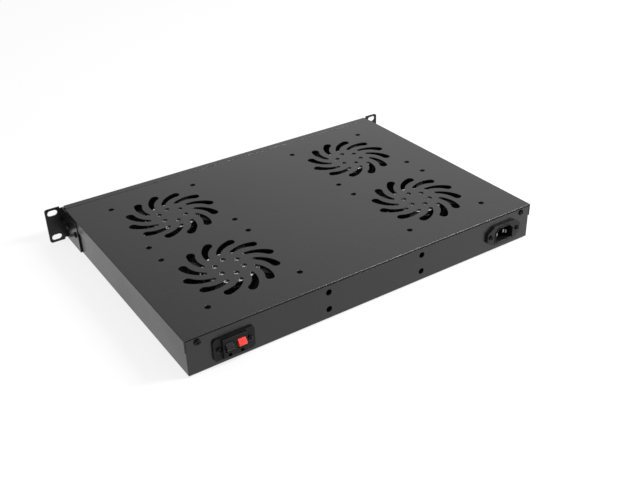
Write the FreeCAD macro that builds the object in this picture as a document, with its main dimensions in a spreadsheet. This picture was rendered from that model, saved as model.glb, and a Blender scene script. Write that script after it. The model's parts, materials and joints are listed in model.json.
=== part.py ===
"""Rack fan tray, one rack unit high: a sheet-steel chassis with a bolted cover, four mains fans,
a thermostat and a rocker switch in front, and a mains inlet and a sensor terminal behind.

Frame: millimetres, +Z up, +X to the left seen from behind, front at low Y. The origin is the
middle of the four rack slots, in the plane of the rack rails.
"""
import FreeCAD, Part
import functools
import math
import os
import re
import Sketcher
from FreeCAD import Placement, Rotation, Vector

# Driving dimensions in millimetres and degrees.
SIZES = {
    # case
    "case_width": 440.0,
    "case_depth": 319.0,
    "case_height": 42.0,
    "case_front": 0.5,
    "metal": 1.2,
    "bend_radius": 1.0,
    "cover_setback": 10.5,
    "cover_front_gap": 1.0,
    "cover_flange": 14.3,
    "cover_seam": 1.0,
    "cover_tab_half": 9.0,
    "lip_length": 16.0,
    "panel_thick": 2.0,
    "panel_margin": 2.0,
    "skin_gap": 0.1,
    "screw_gap": 0.1,
    "plastic_round": 1.5,
    "edge_round": 1.0,
    "edge_soft": 0.5,
    # rack ears
    "ear_reach": 21.3,
    "rack_slot_inset": 8.75,
    "rack_slot_rise": 31.75,
    "rack_slot_width": 7.4,
    "rack_slot_length": 12.0,
    "ear_height": 43.6,
    "ear_drop": 0.2,
    "ear_thick": 2.0,
    "ear_corner": 3.0,
    "ear_flange": 45.5,
    "ear_relief": 2.3,
    "ear_relief_width": 2.6,
    "ear_screw_front": 11.5,
    "ear_screw_pitch": 25.0,
    # screws
    "screw_shank": 3.0,
    "screw_head": 7.0,
    "screw_head_high": 2.4,
    "screw_long": 7.0,
    "cross_size": 3.6,
    "cross_slot": 0.9,
    "cross_deep": 1.2,
    "cover_screw_inset": 13.5,
    "cover_screw_drop": 7.0,
    "panel_screw_inset": 8.0,
    # grilles
    "grille_slots": 12,
    "slot_outer_reach": 47.9,
    "slot_inner_reach": 27.6,
    "slot_tip": 4.8,
    "slot_root": 2.3,
    "slot_sweep": 26.5,
    "slot_bow": 3.1,
    "hub_holes": 6,
    "hub_hole": 6.3,
    "hub_hole_reach": 15.0,
    # fans
    "fan_side_inset": 95.9,
    "fan_rear_inset": 87.5,
    "fan_pitch_y": 135.5,
    "fan_square": 119.0,
    "fan_deep": 38.0,
    "fan_corner": 6.0,
    "fan_flange": 5.0,
    "fan_bore": 114.0,
    "fan_wall": 1.7,
    "fan_hole_pitch": 105.0,
    "fan_hole": 4.3,
    "fan_screw_head": 6.4,
    "fan_screw_sink": 0.05,
    "fan_screw_past": 1.5,
    "fan_screw_cross": 3.4,
    "fan_screw_cross_width": 0.9,
    "fan_screw_cross_deep": 0.7,
    "mount_disc": 60.0,
    "mount_disc_thick": 3.0,
    "mount_sink": 0.8,
    "strut_width": 7.0,
    "strut_count": 4,
    "label_size": 58.0,
    "label_thick": 0.3,
    "tube_outside": 13.6,
    "tube_long": 25.0,
    "tube_cap": 1.0,
    "bearing_inset": 0.5,
    "shaft_drop": 2.0,
    "bearing_outside": 11.0,
    "bearing_long": 5.0,
    "shaft_size": 5.0,
    "fit_gap": 0.03,
    "rotor_gap": 1.2,
    "cup_outside": 62.0,
    "cup_wall": 2.0,
    "boss_wall": 3.0,
    "boss_high": 2.0,
    "hub_ring": 1.5,
    "blade_count": 5,
    "blade_tip_gap": 1.2,
    "blade_thick": 1.5,
    "blade_root_chord": 30.0,
    "blade_tip_chord": 44.0,
    "blade_root_pitch": 42.0,
    "blade_tip_pitch": 30.0,
    "blade_camber": 4.0,
    "stator_outside": 54.0,
    "stator_high": 11.0,
    "coil_count": 4,
    "coil_size": 12.0,
    "coil_high": 17.0,
    # mains inlet
    "inlet_inset": 41.7,
    "inlet_drop": 22.5,
    "inlet_width": 30.0,
    "inlet_height": 24.0,
    "inlet_ears": 50.0,
    "inlet_ear_end": 11.0,
    "inlet_flange": 3.2,
    "inlet_deep": 18.0,
    "inlet_body_width": 28.0,
    "inlet_body_height": 21.0,
    "socket_width": 24.8,
    "socket_height": 16.8,
    "socket_corner": 5.0,
    "socket_deep": 16.0,
    "inlet_screw_pitch": 40.0,
    "pin_width": 2.0,
    "pin_height": 4.0,
    "pin_spread": 14.0,
    "pin_rise": 4.0,
    "earth_pin_sink": 1.5,
    "live_pin_sink": 4.0,
    "tab_long": 5.5,
    "nut_across": 5.5,
    "nut_thick": 2.4,
    # sensor terminal
    "clamp_inset": 50.0,
    "clamp_drop": 24.0,
    "clamp_width": 45.0,
    "clamp_height": 25.0,
    "clamp_corner": 4.0,
    "clamp_plate": 2.0,
    "clamp_block": 26.6,
    "clamp_block_height": 22.0,
    "clamp_block_out": 5.0,
    "clamp_body_deep": 13.0,
    "clamp_screw_pitch": 33.4,
    "clamp_lever_pitch": 13.2,
    "lever_width": 8.6,
    "lever_tail": 6.0,
    "lever_reach": 12.0,
    "lever_top": 3.5,
    "lever_slope": 5.0,
    "lever_crown": 4.5,
    "lever_nose": 1.5,
    "lever_nose_high": 2.2,
    "lever_gap": 0.35,
    "lever_rise": 2.5,
    "lever_sink": 3.0,
    "lever_drop": 5.9,
    "lever_pin": 2.0,
    "wire_hole": 4.0,
    "wire_hole_drop": 7.8,
    "wire_hole_deep": 9.0,
    # rear holes
    "rear_hole": 7.0,
    "rear_hole_pitch": 120.0,
    "rear_hole_rise": 20.3,
    "rear_hole_drop": 10.4,
    # thermostat
    "stat_inset": 80.0,
    "stat_width": 77.0,
    "stat_height": 34.0,
    "stat_bezel": 3.0,
    "stat_body_width": 71.0,
    "stat_body_height": 28.0,
    "stat_deep": 28.0,
    "stat_wall": 2.0,
    "window_width": 36.0,
    "window_height": 17.0,
    "window_inset": 23.5,
    "window_thick": 1.5,
    "window_sink": 0.2,
    "key_size": 6.0,
    "key_gap": 0.2,
    "key_pitch": 9.0,
    "key_inset": 11.5,
    "key_out": 1.0,
    "key_travel": 0.7,
    "key_collar": 1.0,
    "key_collar_rim": 1.0,
    "board_gap": 1.5,
    "board_thick": 1.6,
    # switch
    "switch_inset": 34.0,
    "switch_width": 30.0,
    "switch_height": 22.0,
    "switch_bezel": 2.0,
    "switch_body_width": 27.0,
    "switch_body_height": 19.0,
    "switch_deep": 18.0,
    "rocker_radius": 10.6,
    "rocker_height": 13.0,
    "rocker_sink": 4.0,
    "rocker_rise": 2.5,
    "rocker_dip": 1.2,
    "rocker_back": 3.7,
    "rocker_tilt": 8.0,
    "rocker_gap": 0.3,
    # wiring
    "mains_cable": 6.0,
    "fan_lead": 3.6,
    "probe_lead": 2.4,
    "cable_bend": 14.0,
    "cable_gap": 0.4,
    "cable_lift": 5.0,
    "cable_rear_lane": 9.0,
    "cable_drop": 26.0,
    "cable_rise": 40.0,
    "lead_inset": 21.0,
    "lead_step": 10.0,
    "lead_run": 30.0,
    # earth stud
    "earth_rod": 4.0,
    "earth_rod_long": 12.0,
    "earth_nut": 7.6,
    "earth_nut_high": 3.2,
    "earth_side": 60.0,
    "earth_rear": 11.0,
}

document = FreeCAD.newDocument("rack_fan_tray")
sheet = document.addObject("Spreadsheet::Sheet", "Sizes")
for row, (alias, number) in enumerate(SIZES.items(), 1):
    sheet.set(f"A{row}", alias)
    sheet.set(f"B{row}", str(number))
    sheet.setAlias(f"B{row}", alias)
document.recompute()
gauge = document.addObject("App::FeaturePython", "Gauge")
gauge.addProperty("App::PropertyFloat", "Reading")

nodes = []

# Shared places, written as expressions on the sheet's cells.
TOP = "(ear_height / 2 + ear_drop)"
COVER_UNDER = f"({TOP} - metal)"
BOTTOM = f"({TOP} - case_height)"
FLOOR = f"({BOTTOM} + metal)"
SIDE = "(case_width / 2 - metal)"
INNER_SIDE = f"({SIDE} - metal)"
FRONT = "case_front"
REAR = "(case_front + case_depth)"
INNER_REAR = f"({REAR} - metal)"
PANEL_FACE = f"({FRONT} - panel_thick)"
INNER_FRONT = f"({FRONT} + metal)"
COVER_SCREW_HEIGHT = f"({TOP} - cover_screw_drop)"
FLANGE_LOW = f"({TOP} - cover_flange)"
RACK_SIDE = "(case_width / 2 + ear_reach)"
RACK_SLOT_SIDE = f"({RACK_SIDE} - rack_slot_inset)"
COVER_SCREW_SIDE = "(case_width / 2 - cover_screw_inset)"
PANEL_SCREW_SIDE = f"({SIDE} - panel_screw_inset)"
PANEL_SCREW_HEIGHTS = ("case_height / 2 - panel_screw_inset", "panel_screw_inset - case_height / 2")
FAN_SIDE = "(case_width / 2 - fan_side_inset)"
FAN_REAR_Y = f"({REAR} - fan_rear_inset)"
FAN_FRONT_Y = f"({FAN_REAR_Y} - fan_pitch_y)"
INLET = ("(inlet_inset - case_width / 2)", f"({TOP} - inlet_drop)")
PINS = [(f"({INLET[0]} - pin_spread / 2)", f"({INLET[1]} - pin_rise / 2)"),
        (INLET[0], f"({INLET[1]} + pin_rise / 2)"),
        (f"({INLET[0]} + pin_spread / 2)", f"({INLET[1]} - pin_rise / 2)")]
CLAMP = ("(case_width / 2 - clamp_inset)", f"({TOP} - clamp_drop)")
LEVER_PIVOT = (f"({REAR} - lever_sink)", f"({CLAMP[1]} + lever_rise)")
STAT = ("(case_width / 2 - stat_inset)", "0")
SWITCH = ("(switch_inset - case_width / 2)", "0")
PAST = 1.0  # how far a cutting tool runs past the face it opens


def linked(text):
    """An expression with each alias written as the sheet's own cell."""
    def cell(word):
        return "Sizes." + word.group() if word.group() in SIZES else word.group()
    return re.sub(r"[a-z][a-z_]+", cell, text)


@functools.cache
def value(text):
    """The number that an expression on the sheet's cells gives."""
    gauge.setExpression("Reading", linked(str(text)))
    gauge.recompute()
    return gauge.Reading


def bind(obj, **expressions):
    for prop, text in expressions.items():
        obj.setExpression(prop, linked(str(text)))
    return obj


def place(obj, x, y, z):
    for axis, text in zip("xyz", (x, y, z)):
        obj.setExpression("Placement.Base." + axis, linked(str(text)))
    return obj


def node(obj, name):
    """Marks an object as a sub-part with a name of its own."""
    obj.Label = name
    nodes.append(obj)
    return obj


def box(name, x, y, z):
    """A block between a low and a high expression on each axis."""
    block = document.addObject("Part::Box", name)
    for prop, (low, high) in zip(("Length", "Width", "Height"), (x, y, z)):
        block.setExpression(prop, linked(f"({high}) - ({low})"))
    return place(block, x[0], y[0], z[0])


def centred_box(name, centre, width, y, height):
    """A block centred on an (x, z) pair, between two Y expressions."""
    x, z = centre
    return box(name, (f"({x}) - ({width}) / 2", f"({x}) + ({width}) / 2"), y,
               (f"({z}) - ({height}) / 2", f"({z}) + ({height}) / 2"))


TURNS = {"z": Rotation(), "y": Rotation(Vector(1, 0, 0), -90), "x": Rotation(Vector(0, 1, 0), 90)}


def rod(name, diameter, start, length, axis="z"):
    """A cylinder from a start point along an axis."""
    cylinder = document.addObject("Part::Cylinder", name)
    cylinder.Placement = Placement(Vector(), TURNS[axis])
    bind(cylinder, Radius=f"({diameter}) / 2", Height=length)
    return place(cylinder, *start)


def fuse(name, *pieces):
    joined = document.addObject("Part::MultiFuse", name)
    joined.Shapes = list(pieces)
    joined.Refine = True
    return joined


def gather(name, *pieces):
    """Separate solids kept together, as a tool or as a set of like pieces."""
    group = document.addObject("Part::Compound", name)
    group.Links = list(pieces)
    return group


def cut(name, base, *tools):
    result = document.addObject("Part::Cut", name)
    result.Base = base
    result.Tool = tools[0] if len(tools) == 1 else gather(name + "_tools", *tools)
    result.Refine = True
    return result


def feature(name, shape):
    """A solid made with Part's functions from the sheet's values."""
    obj = document.addObject("Part::Feature", name)
    obj.Shape = shape
    return obj


def fillet(name, base, radius, chosen):
    """Rounds the edges of a base that a test on the edge picks."""
    document.recompute()
    rounded = document.addObject("Part::Fillet", name)
    rounded.Base = base
    size = value(radius)
    rounded.Edges = [(i, size, size) for i, edge in enumerate(base.Shape.Edges, 1) if chosen(edge)]
    return rounded


def along(edge, axis):
    """Whether an edge is straight and runs along an axis, 0 to 2 for X to Z."""
    ends = [vertex.Point for vertex in edge.Vertexes]
    if len(ends) != 2 or not isinstance(edge.Curve, Part.Line):
        return False
    run = ends[1] - ends[0]
    return abs(abs(run[axis]) - run.Length) < 1e-6


def at(edge, **limits):
    """Whether an edge's middle lies at the given x, y or z."""
    middle = edge.BoundBox.Center
    return all(abs(getattr(middle, axis) - number) < 1e-3 for axis, number in limits.items())


# PartDesign helpers.

def new_body(name):
    return document.addObject("PartDesign::Body", name)


def new_sketch(body, name, plane, offset="0"):
    """A sketch on one of the body's own origin planes, moved along its normal."""
    sketch = body.newObject("Sketcher::SketchObject", name)
    origin = next(item for item in body.Origin.OriginFeatures if item.Role == plane)
    sketch.AttachmentSupport = [(origin, "")]
    sketch.MapMode = "FlatFace"
    sketch.setExpression("AttachmentOffset.Base.z", linked(offset))
    return sketch


def pin_point(sketch, geometry, end, x, y):
    """Fixes a sketch point by two expressions."""
    for kind, text in (("DistanceX", x), ("DistanceY", y)):
        constraint = sketch.addConstraint(Sketcher.Constraint(kind, -1, 1, geometry, end, value(text)))
        sketch.setExpression(f"Constraints[{constraint}]", linked(text))


def polygon(sketch, points):
    """A closed outline of straight lines, each corner fixed by two expressions."""
    spots = [Vector(value(x), value(y), 0) for x, y in points]
    lines = []
    for i, spot in enumerate(spots):
        following = spots[(i + 1) % len(spots)]
        lines.append(sketch.addGeometry(Part.LineSegment(spot, following), False))
    for i, line in enumerate(lines):
        following = lines[(i + 1) % len(lines)]
        sketch.addConstraint(Sketcher.Constraint("Coincident", line, 2, following, 1))
        pin_point(sketch, line, 1, *points[i])


def rectangle(sketch, x, y):
    polygon(sketch, [(x[0], y[0]), (x[1], y[0]), (x[1], y[1]), (x[0], y[1])])


def circle(sketch, x, y, diameter):
    centre = Vector(value(x), value(y), 0)
    ring = sketch.addGeometry(Part.Circle(centre, Vector(0, 0, 1), value(diameter) / 2), False)
    pin_point(sketch, ring, 3, x, y)
    size = sketch.addConstraint(Sketcher.Constraint("Diameter", ring, value(diameter)))
    sketch.setExpression(f"Constraints[{size}]", linked(diameter))


def pad(body, name, sketch, length):
    raised = body.newObject("PartDesign::Pad", name)
    raised.Profile = sketch
    bind(raised, Length=length)
    return raised


def pocket(body, name, sketch, length, reverse=False):
    sunk = body.newObject("PartDesign::Pocket", name)
    sunk.Profile = sketch
    sunk.Reversed = reverse
    bind(sunk, Length=length)
    return sunk


def revolve(body, name, sketch, axis="V_Axis"):
    turned = body.newObject("PartDesign::Revolution", name)
    turned.Profile = sketch
    turned.ReferenceAxis = (sketch, [axis])
    turned.Angle = 360
    return turned


# Grilles.

def slot_face():
    """One swept grille slot: two round ends joined by two bowed edges, thinner at its root."""
    reach, root_reach = value("slot_outer_reach"), value("slot_inner_reach")
    tip, root = value("slot_tip"), value("slot_root")
    sweep = math.radians(value("slot_sweep"))
    outer = Vector(reach, 0, 0)
    inner = Vector(root_reach * math.cos(sweep), root_reach * math.sin(sweep), 0)
    chord = inner - outer
    run = Vector(chord).normalize()
    side = Vector(run.y, -run.x, 0)
    bow = value("slot_bow")
    lean = 2 * math.atan(2 * bow / chord.Length)
    middle = (outer + inner) * 0.5 + side * bow
    half_width = (tip + root) / 2
    outer_side = side * math.cos(lean) - run * math.sin(lean)
    inner_side = side * math.cos(lean) + run * math.sin(lean)
    outer_end = (run * math.cos(lean) + side * math.sin(lean)) * -1
    inner_end = run * math.cos(lean) - side * math.sin(lean)
    edges = [
        Part.Arc(outer + outer_side * tip, middle + side * half_width, inner + inner_side * root),
        Part.Arc(inner + inner_side * root, inner + inner_end * root, inner - inner_side * root),
        Part.Arc(inner - inner_side * root, middle - side * half_width, outer - outer_side * tip),
        Part.Arc(outer - outer_side * tip, outer + outer_end * tip, outer + outer_side * tip),
    ]
    return Part.Face(Part.Wire([edge.toShape() for edge in edges]))


def fan_places():
    """The fans' centres, the front pair first."""
    reach = value(FAN_SIDE)
    return [Vector(side * reach, value(y), 0) for y in (FAN_FRONT_Y, FAN_REAR_Y) for side in (1, -1)]


def fan_screw_hole(bottom, height):
    """A round hole for a fan's screw, between two heights."""
    return Part.makeCylinder(value("fan_hole") / 2, height, Vector(0, 0, bottom))


def sunk_screw_hole(bottom, height):
    """A fan's screw hole that widens through the cover to take a flat head."""
    narrow, metal = value("fan_hole") / 2, value("metal")
    spread = (value("fan_screw_head") / 2 + value("screw_gap") - narrow) / metal
    under = value(COVER_UNDER)
    over = bottom + height - under
    flare = Part.makeCone(narrow, narrow + spread * over, over, Vector(0, 0, under))
    return fan_screw_hole(bottom, height).fuse(flare).removeSplitter()


def grille_cutter(name, low, high, screw_hole_at=fan_screw_hole):
    """The slots, hub holes and fan screw holes over each fan, between two heights."""
    bottom, height = value(low), value(high) - value(low)
    slots = int(value("grille_slots"))
    holes = int(value("hub_holes"))
    hub_radius, hub_reach = value("hub_hole") / 2, value("hub_hole_reach")
    half_pitch = value("fan_hole_pitch") / 2
    cutters = []
    for i in range(slots):
        slot = slot_face().extrude(Vector(0, 0, height)).translated(Vector(0, 0, bottom))
        slot.rotate(Vector(), Vector(0, 0, 1), 360 / slots * i)
        cutters.append(slot)
    for i in range(holes):
        angle = math.radians(90 + 360 / holes * i)
        spot = Vector(hub_reach * math.cos(angle), hub_reach * math.sin(angle), bottom)
        cutters.append(Part.makeCylinder(hub_radius, height, spot))
    for x in (-half_pitch, half_pitch):
        for y in (-half_pitch, half_pitch):
            cutters.append(screw_hole_at(bottom, height).translated(Vector(x, y, 0)))
    grille = Part.makeCompound(cutters)
    copies = [grille.translated(spot) for spot in fan_places()]
    return feature(name, Part.makeCompound(copies))


# Case.

def rear_holes(name):
    """Two upright pairs of round holes in the rear wall."""
    pitch, drop, rise = "rear_hole_pitch / 2", "rear_hole_drop", "rear_hole_rise"
    holes = []
    for i, side in enumerate(("", "-")):
        for k, height in enumerate((f"{TOP} - {drop}", f"{TOP} - {drop} - {rise}")):
            start = (f"{side}{pitch}", f"{INNER_REAR} - {PAST}", height)
            holes.append(rod(f"{name}_{i}{k}", "rear_hole", start, f"metal + 2 * {PAST}", "y"))
    return holes


def screw_hole(name, x, y, z, length, axis="y"):
    return rod(name, "screw_shank + 2 * screw_gap", (x, y, z), length, axis)


def case_openings():
    """Everything that passes the front and rear walls of the chassis."""
    through = f"metal + 2 * {PAST}"
    rear_start = f"{INNER_REAR} - {PAST}"
    rear_span = (rear_start, f"{REAR} + {PAST}")
    front_span = (f"{FRONT} - {PAST}", f"{INNER_FRONT} + {PAST}")
    gap = "2 * skin_gap"
    tools = rear_holes("rear_hole")
    tools.append(centred_box("inlet_opening", INLET, f"inlet_body_width + {gap}", rear_span,
                             f"inlet_body_height + {gap}"))
    tools.append(centred_box("clamp_opening", CLAMP, f"clamp_block + {gap}", rear_span,
                             f"clamp_block_height + {gap}"))
    tools.append(centred_box("stat_opening", STAT, f"stat_body_width + {gap}", front_span,
                             f"stat_body_height + {gap}"))
    tools.append(centred_box("switch_opening", SWITCH, f"switch_body_width + {gap}", front_span,
                             f"switch_body_height + {gap}"))
    for i, side in enumerate(("", "-")):
        spots = [
            (f"{side}{COVER_SCREW_SIDE}", COVER_SCREW_HEIGHT),
            (f"{INLET[0]} + {side}inlet_screw_pitch / 2", INLET[1]),
            (f"{CLAMP[0]} + {side}clamp_screw_pitch / 2", CLAMP[1]),
        ]
        for k, (x, z) in enumerate(spots):
            tools.append(screw_hole(f"rear_screw_hole_{i}{k}", x, rear_start, z, through))
        for k, height in enumerate(PANEL_SCREW_HEIGHTS):
            tools.append(screw_hole(f"panel_hole_{i}{k}", f"{side}{PANEL_SCREW_SIDE}",
                                    f"{FRONT} - {PAST}", height, through))
        side_start = f"{INNER_SIDE} - {PAST}" if side == "" else f"-{SIDE} - {PAST}"
        for k in range(2):
            tools.append(screw_hole(f"ear_hole_{i}{k}", side_start,
                                    f"ear_screw_front + {k} * ear_screw_pitch", "0", through, "x"))
    return tools


def make_chassis():
    """A folded tray with a turned-in lip at the top of its front wall, on which the cover rests.

    In front of the cover the lip is doubled, flush with the cover's top. Behind the lip the walls
    stop short of the cover, which leaves the seam seen from behind.
    """
    shell = box("chassis_shell", (f"-{SIDE}", SIDE), (FRONT, REAR), (BOTTOM, COVER_UNDER))
    low_sides = fillet("chassis_bends", shell, "bend_radius",
                       lambda e: at(e, z=value(BOTTOM)) or along(e, 2))
    hollow = box("chassis_hollow", (f"-{INNER_SIDE}", INNER_SIDE), (INNER_FRONT, INNER_REAR),
                 (FLOOR, f"{COVER_UNDER} + {PAST}"))
    lip = box("chassis_lip", (f"-{INNER_SIDE}", INNER_SIDE),
              (INNER_FRONT, f"{FRONT} + lip_length"), (f"{COVER_UNDER} - metal", COVER_UNDER))
    seam = box("chassis_seam", (f"-{SIDE} - {PAST}", f"{SIDE} + {PAST}"),
               (f"{FRONT} + lip_length", f"{REAR} + {PAST}"),
               (f"{COVER_UNDER} - cover_seam", f"{COVER_UNDER} + {PAST}"))
    hem = box("chassis_hem", (f"-{SIDE}", SIDE), (FRONT, f"{FRONT} + cover_setback - cover_front_gap"),
              (COVER_UNDER, TOP))
    document.recompute()
    soft_hem = fillet("chassis_hem_soft", hem, "edge_soft", lambda e: at(e, z=value(TOP)))
    tray = fuse("chassis_tray", cut("chassis_walls", low_sides, hollow, seam), lip, soft_hem)
    grilles = grille_cutter("floor_grilles", f"{BOTTOM} - {PAST}", f"{FLOOR} + {PAST}")
    document.recompute()
    return node(cut("chassis_part", tray, grilles, *case_openings()), "chassis")


def make_cover():
    """A flat lid with flanges down both sides and two tabs inside the rear wall."""
    lid = new_body("cover_lid")
    outline = new_sketch(lid, "cover_outline", "XY_Plane", COVER_UNDER)
    rectangle(outline, ("-case_width / 2", "case_width / 2"), (f"{FRONT} + cover_setback", REAR))
    pad(lid, "cover_plate", outline, "metal")
    start = "ear_flange + 4 * skin_gap"
    for i, (inside, outside) in enumerate(((SIDE, "case_width / 2"), ("-case_width / 2", f"-{SIDE}"))):
        flange = new_sketch(lid, f"cover_flange_{i}", "XY_Plane", FLANGE_LOW)
        rectangle(flange, (inside, outside), (start, REAR))
        pad(lid, f"cover_side_{i}", flange, "cover_flange - metal")
    tongue = new_sketch(lid, "cover_tongue", "XY_Plane", FLANGE_LOW)
    outer, inner = f"({INNER_SIDE} - bend_radius)", f"({COVER_SCREW_SIDE} - cover_tab_half)"
    for x in ((f"-{outer}", f"-{inner}"), (inner, outer)):
        rectangle(tongue, x, (f"{INNER_REAR} - metal", INNER_REAR))
    pad(lid, "cover_rear", tongue, "cover_flange - metal")
    document.recompute()
    edges = fillet("cover_edges", lid, "metal * 0.6",
                   lambda e: at(e, z=value(TOP)) and (along(e, 1) or at(e, y=value(REAR))))
    grilles = grille_cutter("cover_grilles", f"{COVER_UNDER} - {PAST}", f"{TOP} + {PAST}", sunk_screw_hole)
    holes = [screw_hole(f"cover_hole_{i}", f"{side}{COVER_SCREW_SIDE}", f"{INNER_REAR} - metal - {PAST}",
                        COVER_SCREW_HEIGHT, f"metal + {PAST}") for i, side in enumerate(("", "-"))]
    return node(cut("cover_part", edges, grilles, *holes), "top_cover")


def make_front_panel():
    """The plate over the chassis front wall, open for the thermostat and the switch."""
    reach = f"({SIDE} - skin_gap * 4)"
    plate = box("panel_plate", (f"-{reach}", reach), (PANEL_FACE, FRONT),
                (f"{BOTTOM} + panel_margin", f"{COVER_UNDER} - panel_margin"))
    span = (f"{PANEL_FACE} - {PAST}", f"{FRONT} + {PAST}")
    gap = "2 * skin_gap"
    tools = [
        centred_box("panel_stat_opening", STAT, f"stat_body_width + {gap}", span,
                    f"stat_body_height + {gap}"),
        centred_box("panel_switch_opening", SWITCH, f"switch_body_width + {gap}", span,
                    f"switch_body_height + {gap}"),
    ]
    for i, side in enumerate(("", "-")):
        for k, height in enumerate(PANEL_SCREW_HEIGHTS):
            tools.append(screw_hole(f"panel_face_hole_{i}{k}", f"{side}{PANEL_SCREW_SIDE}",
                                    f"{PANEL_FACE} - {PAST}", height, f"panel_thick + 2 * {PAST}"))
    return node(cut("panel_part", plate, *tools), "front_panel")


def make_ear(name, side):
    """An angle bracket: an upright plate with two rack slots and a flange along the case."""
    sign = "" if side > 0 else "-"
    ear = new_body(name + "_body")
    profile = new_sketch(ear, name + "_profile", "XY_Plane", "-ear_height / 2")
    root, edge = f"{sign}{SIDE}", f"{sign}{RACK_SIDE}"
    flange = f"{sign}({SIDE} + ear_thick)"
    polygon(profile, [(root, "-ear_thick"), (edge, "-ear_thick"), (edge, "0"), (flange, "0"),
                      (flange, "ear_flange"), (root, "ear_flange")])
    pad(ear, name + "_angle", profile, "ear_height")
    document.recompute()
    angle = ear.Tip
    picked = [f"Edge{i}" for i, e in enumerate(angle.Shape.Edges, 1)
              if along(e, 1) and at(e, x=side * value(RACK_SIDE))]
    corners = ear.newObject("PartDesign::Fillet", name + "_corners")
    corners.Base = (angle, picked)
    bind(corners, Radius="ear_corner")
    document.recompute()
    # The flange is lower than the plate, with a relief where the two meet.
    tools = []
    inner = (f"{SIDE} - {PAST}", f"{SIDE} + ear_thick + ear_relief_width")
    span = inner if side > 0 else (f"-({inner[1]})", f"-({inner[0]})")
    for k, (low, high) in enumerate((("ear_height / 2 - ear_relief", f"ear_height / 2 + {PAST}"),
                                     (f"-ear_height / 2 - {PAST}", "-ear_height / 2 + ear_relief"))):
        tools.append(box(f"{name}_relief_{k}", span, (f"-ear_thick - {PAST}", f"ear_flange + {PAST}"),
                         (low, high)))
    for k, height in enumerate(("rack_slot_rise / 2", "-rack_slot_rise / 2")):
        half = "(rack_slot_length - rack_slot_width) / 2"
        centre = f"{sign}{RACK_SLOT_SIDE}"
        ends = []
        for j, way in enumerate("+-"):
            start = (f"{centre} {way} {half}", f"-ear_thick - {PAST}", height)
            ends.append(rod(f"{name}_slot_{k}{j}", "rack_slot_width", start, f"ear_thick + 2 * {PAST}", "y"))
        middle = centred_box(f"{name}_slot_{k}", (centre, height), f"2 * {half}",
                             (f"-ear_thick - {PAST}", f"{PAST}"), "rack_slot_width")
        tools.append(fuse(f"{name}_slot_tool_{k}", middle, *ends))
    start = f"{SIDE} - {PAST}" if side > 0 else f"-{SIDE} - ear_thick - {PAST}"
    for k in range(2):
        tools.append(screw_hole(f"{name}_hole_{k}", start, f"ear_screw_front + {k} * ear_screw_pitch", "0",
                                f"ear_thick + 2 * {PAST}", "x"))
    return node(cut(name + "_part", ear, *tools), name)


# Fasteners.

DIRECTIONS = {"+x": Rotation(Vector(0, 1, 0), 90), "-x": Rotation(Vector(0, 1, 0), -90),
              "+y": Rotation(Vector(1, 0, 0), -90), "-y": Rotation(Vector(1, 0, 0), 90)}


def pan_screw(spot, facing, length, head="screw_head"):
    """A pan-head cross-slot screw. The head sits on the spot and faces away from the shank.

    The head is a low cylinder under a round cap of the same height.
    """
    radius, high = value(head) / 2, value("screw_head_high")
    cap = high / 2
    ball = (radius ** 2 + cap ** 2) / (2 * cap)
    half_angle = math.asin(radius / ball) / 2
    rim = Vector(radius, 0, high - cap)
    crown = Vector(0, 0, high)
    middle = Vector(ball * math.sin(half_angle), 0, high - ball * (1 - math.cos(half_angle)))
    outline = [Part.LineSegment(Vector(), Vector(radius, 0, 0)), Part.LineSegment(Vector(radius, 0, 0), rim),
               Part.Arc(rim, middle, crown), Part.LineSegment(crown, Vector())]
    face = Part.Face(Part.Wire([edge.toShape() for edge in outline]))
    screw = face.revolve(Vector(), Vector(0, 0, 1), 360)
    screw = screw.fuse(Part.makeCylinder(value("screw_shank") / 2, length, Vector(0, 0, -length)))
    size, slot, deep = value("cross_size"), value("cross_slot"), value("cross_deep")
    for width, depth in ((size, slot), (slot, size)):
        corner = Vector(-width / 2, -depth / 2, high - deep)
        screw = screw.cut(Part.makeBox(width, depth, deep + PAST, corner))
    screw.Placement = Placement(spot, DIRECTIONS[facing])
    return screw.removeSplitter()


def screw_set(name, spots, facing, length, head="screw_head"):
    screws = [pan_screw(spot, facing, length, head) for spot in spots]
    return node(feature(name, Part.makeCompound(screws)), name)


def make_case_screws():
    half, height, rear = value(COVER_SCREW_SIDE), value(COVER_SCREW_HEIGHT), value(REAR)
    long = value("screw_long")
    screw_set("cover_screws", [Vector(side * half, rear, height) for side in (1, -1)], "+y", long)
    reach = value(f"{SIDE} + ear_thick")
    rows = [value(f"ear_screw_front + {k} * ear_screw_pitch") for k in range(2)]
    screws = [pan_screw(Vector(side * reach, y, 0), "+x" if side > 0 else "-x", long)
              for side in (1, -1) for y in rows]
    node(feature("ear_screws", Part.makeCompound(screws)), "ear_screws")
    spots = [Vector(side * value(PANEL_SCREW_SIDE), value(PANEL_FACE), value(height))
             for side in (1, -1) for height in PANEL_SCREW_HEIGHTS]
    screw_set("panel_screws", spots, "-y", long, "screw_head - 1.5")


# Fans.

FAN_TOP = COVER_UNDER
FAN_LOW = f"({FAN_TOP} - fan_deep)"
DISC_TOP = f"({FAN_TOP} - mount_sink)"
DISC_LOW = f"({DISC_TOP} - mount_disc_thick)"
CUP_TOP = f"({DISC_LOW} - rotor_gap)"
CUP_LOW = f"({DISC_TOP} - tube_long - rotor_gap - boss_high - cup_wall)"
CUP_DEEP = f"({CUP_TOP} - {CUP_LOW})"


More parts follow.
